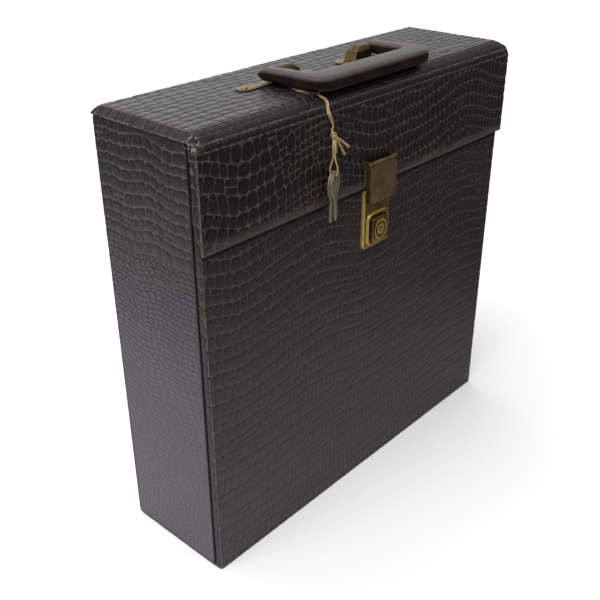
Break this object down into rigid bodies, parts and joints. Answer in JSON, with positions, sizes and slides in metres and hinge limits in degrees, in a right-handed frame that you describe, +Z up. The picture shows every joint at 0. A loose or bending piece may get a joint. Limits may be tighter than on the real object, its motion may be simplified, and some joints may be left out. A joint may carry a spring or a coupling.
{
  "type": "record carrying case",
  "caption": "Upright carrying case for twelve-inch records: covered board box, hinged lid with front flap, slide lock and hasp, folding handle, and keys on a twine",
  "frame": {"origin": "On the floor, under the middle of the body", "axes": "+X to the right and +Y to the back, seen from the front with the lock; +Z up"},
  "size_m": [0.34, 0.1114, 0.3439],
  "materials": {
    "leathercloth": "Dark brown coated cloth with a crocodile grain, satin",
    "board": "Raw case board, mat",
    "lining": "Dark lining paper, mat",
    "brass": "Worn brass plating, satin",
    "steel": "Plain steel",
    "moulding": "Dark brown moulded plastic, polished by use",
    "twine": "Golden laid twine",
    "key_metal": "Dull nickel plate"
  },
  "bodies": {
    "case_body": {"front_board": "board", "back_board": "board", "bottom_board": "board", "left_side_board": "board", "right_side_board": "board", "front_covering": "leathercloth", "back_covering": "leathercloth", "bottom_covering": "leathercloth", "left_side_panel": "leathercloth", "right_side_panel": "leathercloth", "body_lining": "lining", "lock_plate": "brass", "lock_case": "steel", "lock_spring": "steel", "left_hinge_lower_leaf": "brass", "right_hinge_lower_leaf": "brass", "left_hinge_pin": "steel", "right_hinge_pin": "steel", "left_hinge_lower_rivet_outer": "brass", "left_hinge_lower_rivet_inner": "brass", "right_hinge_lower_rivet_outer": "brass", "right_hinge_lower_rivet_inner": "brass"},
    "lid": {"lid_covering": "leathercloth", "lid_board": "board", "front_rail": "board", "back_rail": "board", "flap_board": "board", "lid_lining": "lining", "flap_lining": "lining", "hasp_plate": "brass", "hasp_pin": "brass", "left_handle_mount": "brass", "right_handle_mount": "brass", "left_handle_pin": "steel", "right_handle_pin": "steel", "left_hinge_upper_leaf": "brass", "right_hinge_upper_leaf": "brass", "key_string": "twine", "key_1": "key_metal", "key_2": "key_metal", "left_hasp_rivet": "brass", "right_hasp_rivet": "brass", "left_mount_rivet_inner": "brass", "left_mount_rivet_outer": "brass", "right_mount_rivet_inner": "brass", "right_mount_rivet_outer": "brass", "left_hinge_upper_rivet_outer": "brass", "left_hinge_upper_rivet_inner": "brass", "right_hinge_upper_rivet_outer": "brass", "right_hinge_upper_rivet_inner": "brass"},
    "handle": {"handle_grip": "moulding"},
    "hasp": {"hasp_cover": "brass", "hasp_hook": "steel"},
    "slide": {"lock_button": "brass", "lock_catch": "steel"},
    "plug": {"key_plug": "brass", "lock_cam": "steel"}
  },
  "joints": [
    {"name": "lid_hinge", "type": "hinge", "parent": "case_body", "child": "lid", "pos_m": [0, 0.0497, 0.3153], "axis": [-1, 0, 0], "range_deg": [0, 155]},
    {"name": "handle_hinge", "type": "hinge", "parent": "lid", "child": "handle", "pos_m": [0, 0.002, 0.3384], "axis": [-1, 0, 0], "range_deg": [0, 180]},
    {"name": "hasp_hinge", "type": "hinge", "parent": "lid", "child": "hasp", "pos_m": [0, -0.0546, 0.276], "axis": [-1, 0, 0], "range_deg": [0, 150]},
    {"name": "button_slide", "type": "slide", "parent": "case_body", "child": "slide", "axis": [1, 0, 0], "range_m": [0, 0.0025], "stiffness_N_per_m": 300, "springref_m": -0.003, "deforming": ["lock_spring"]},
    {"name": "key_turn", "type": "hinge", "parent": "slide", "child": "plug", "pos_m": [-0.00125, -0.0545, 0.2236], "axis": [0, 1, 0], "range_deg": [0, 90]}
  ]
}
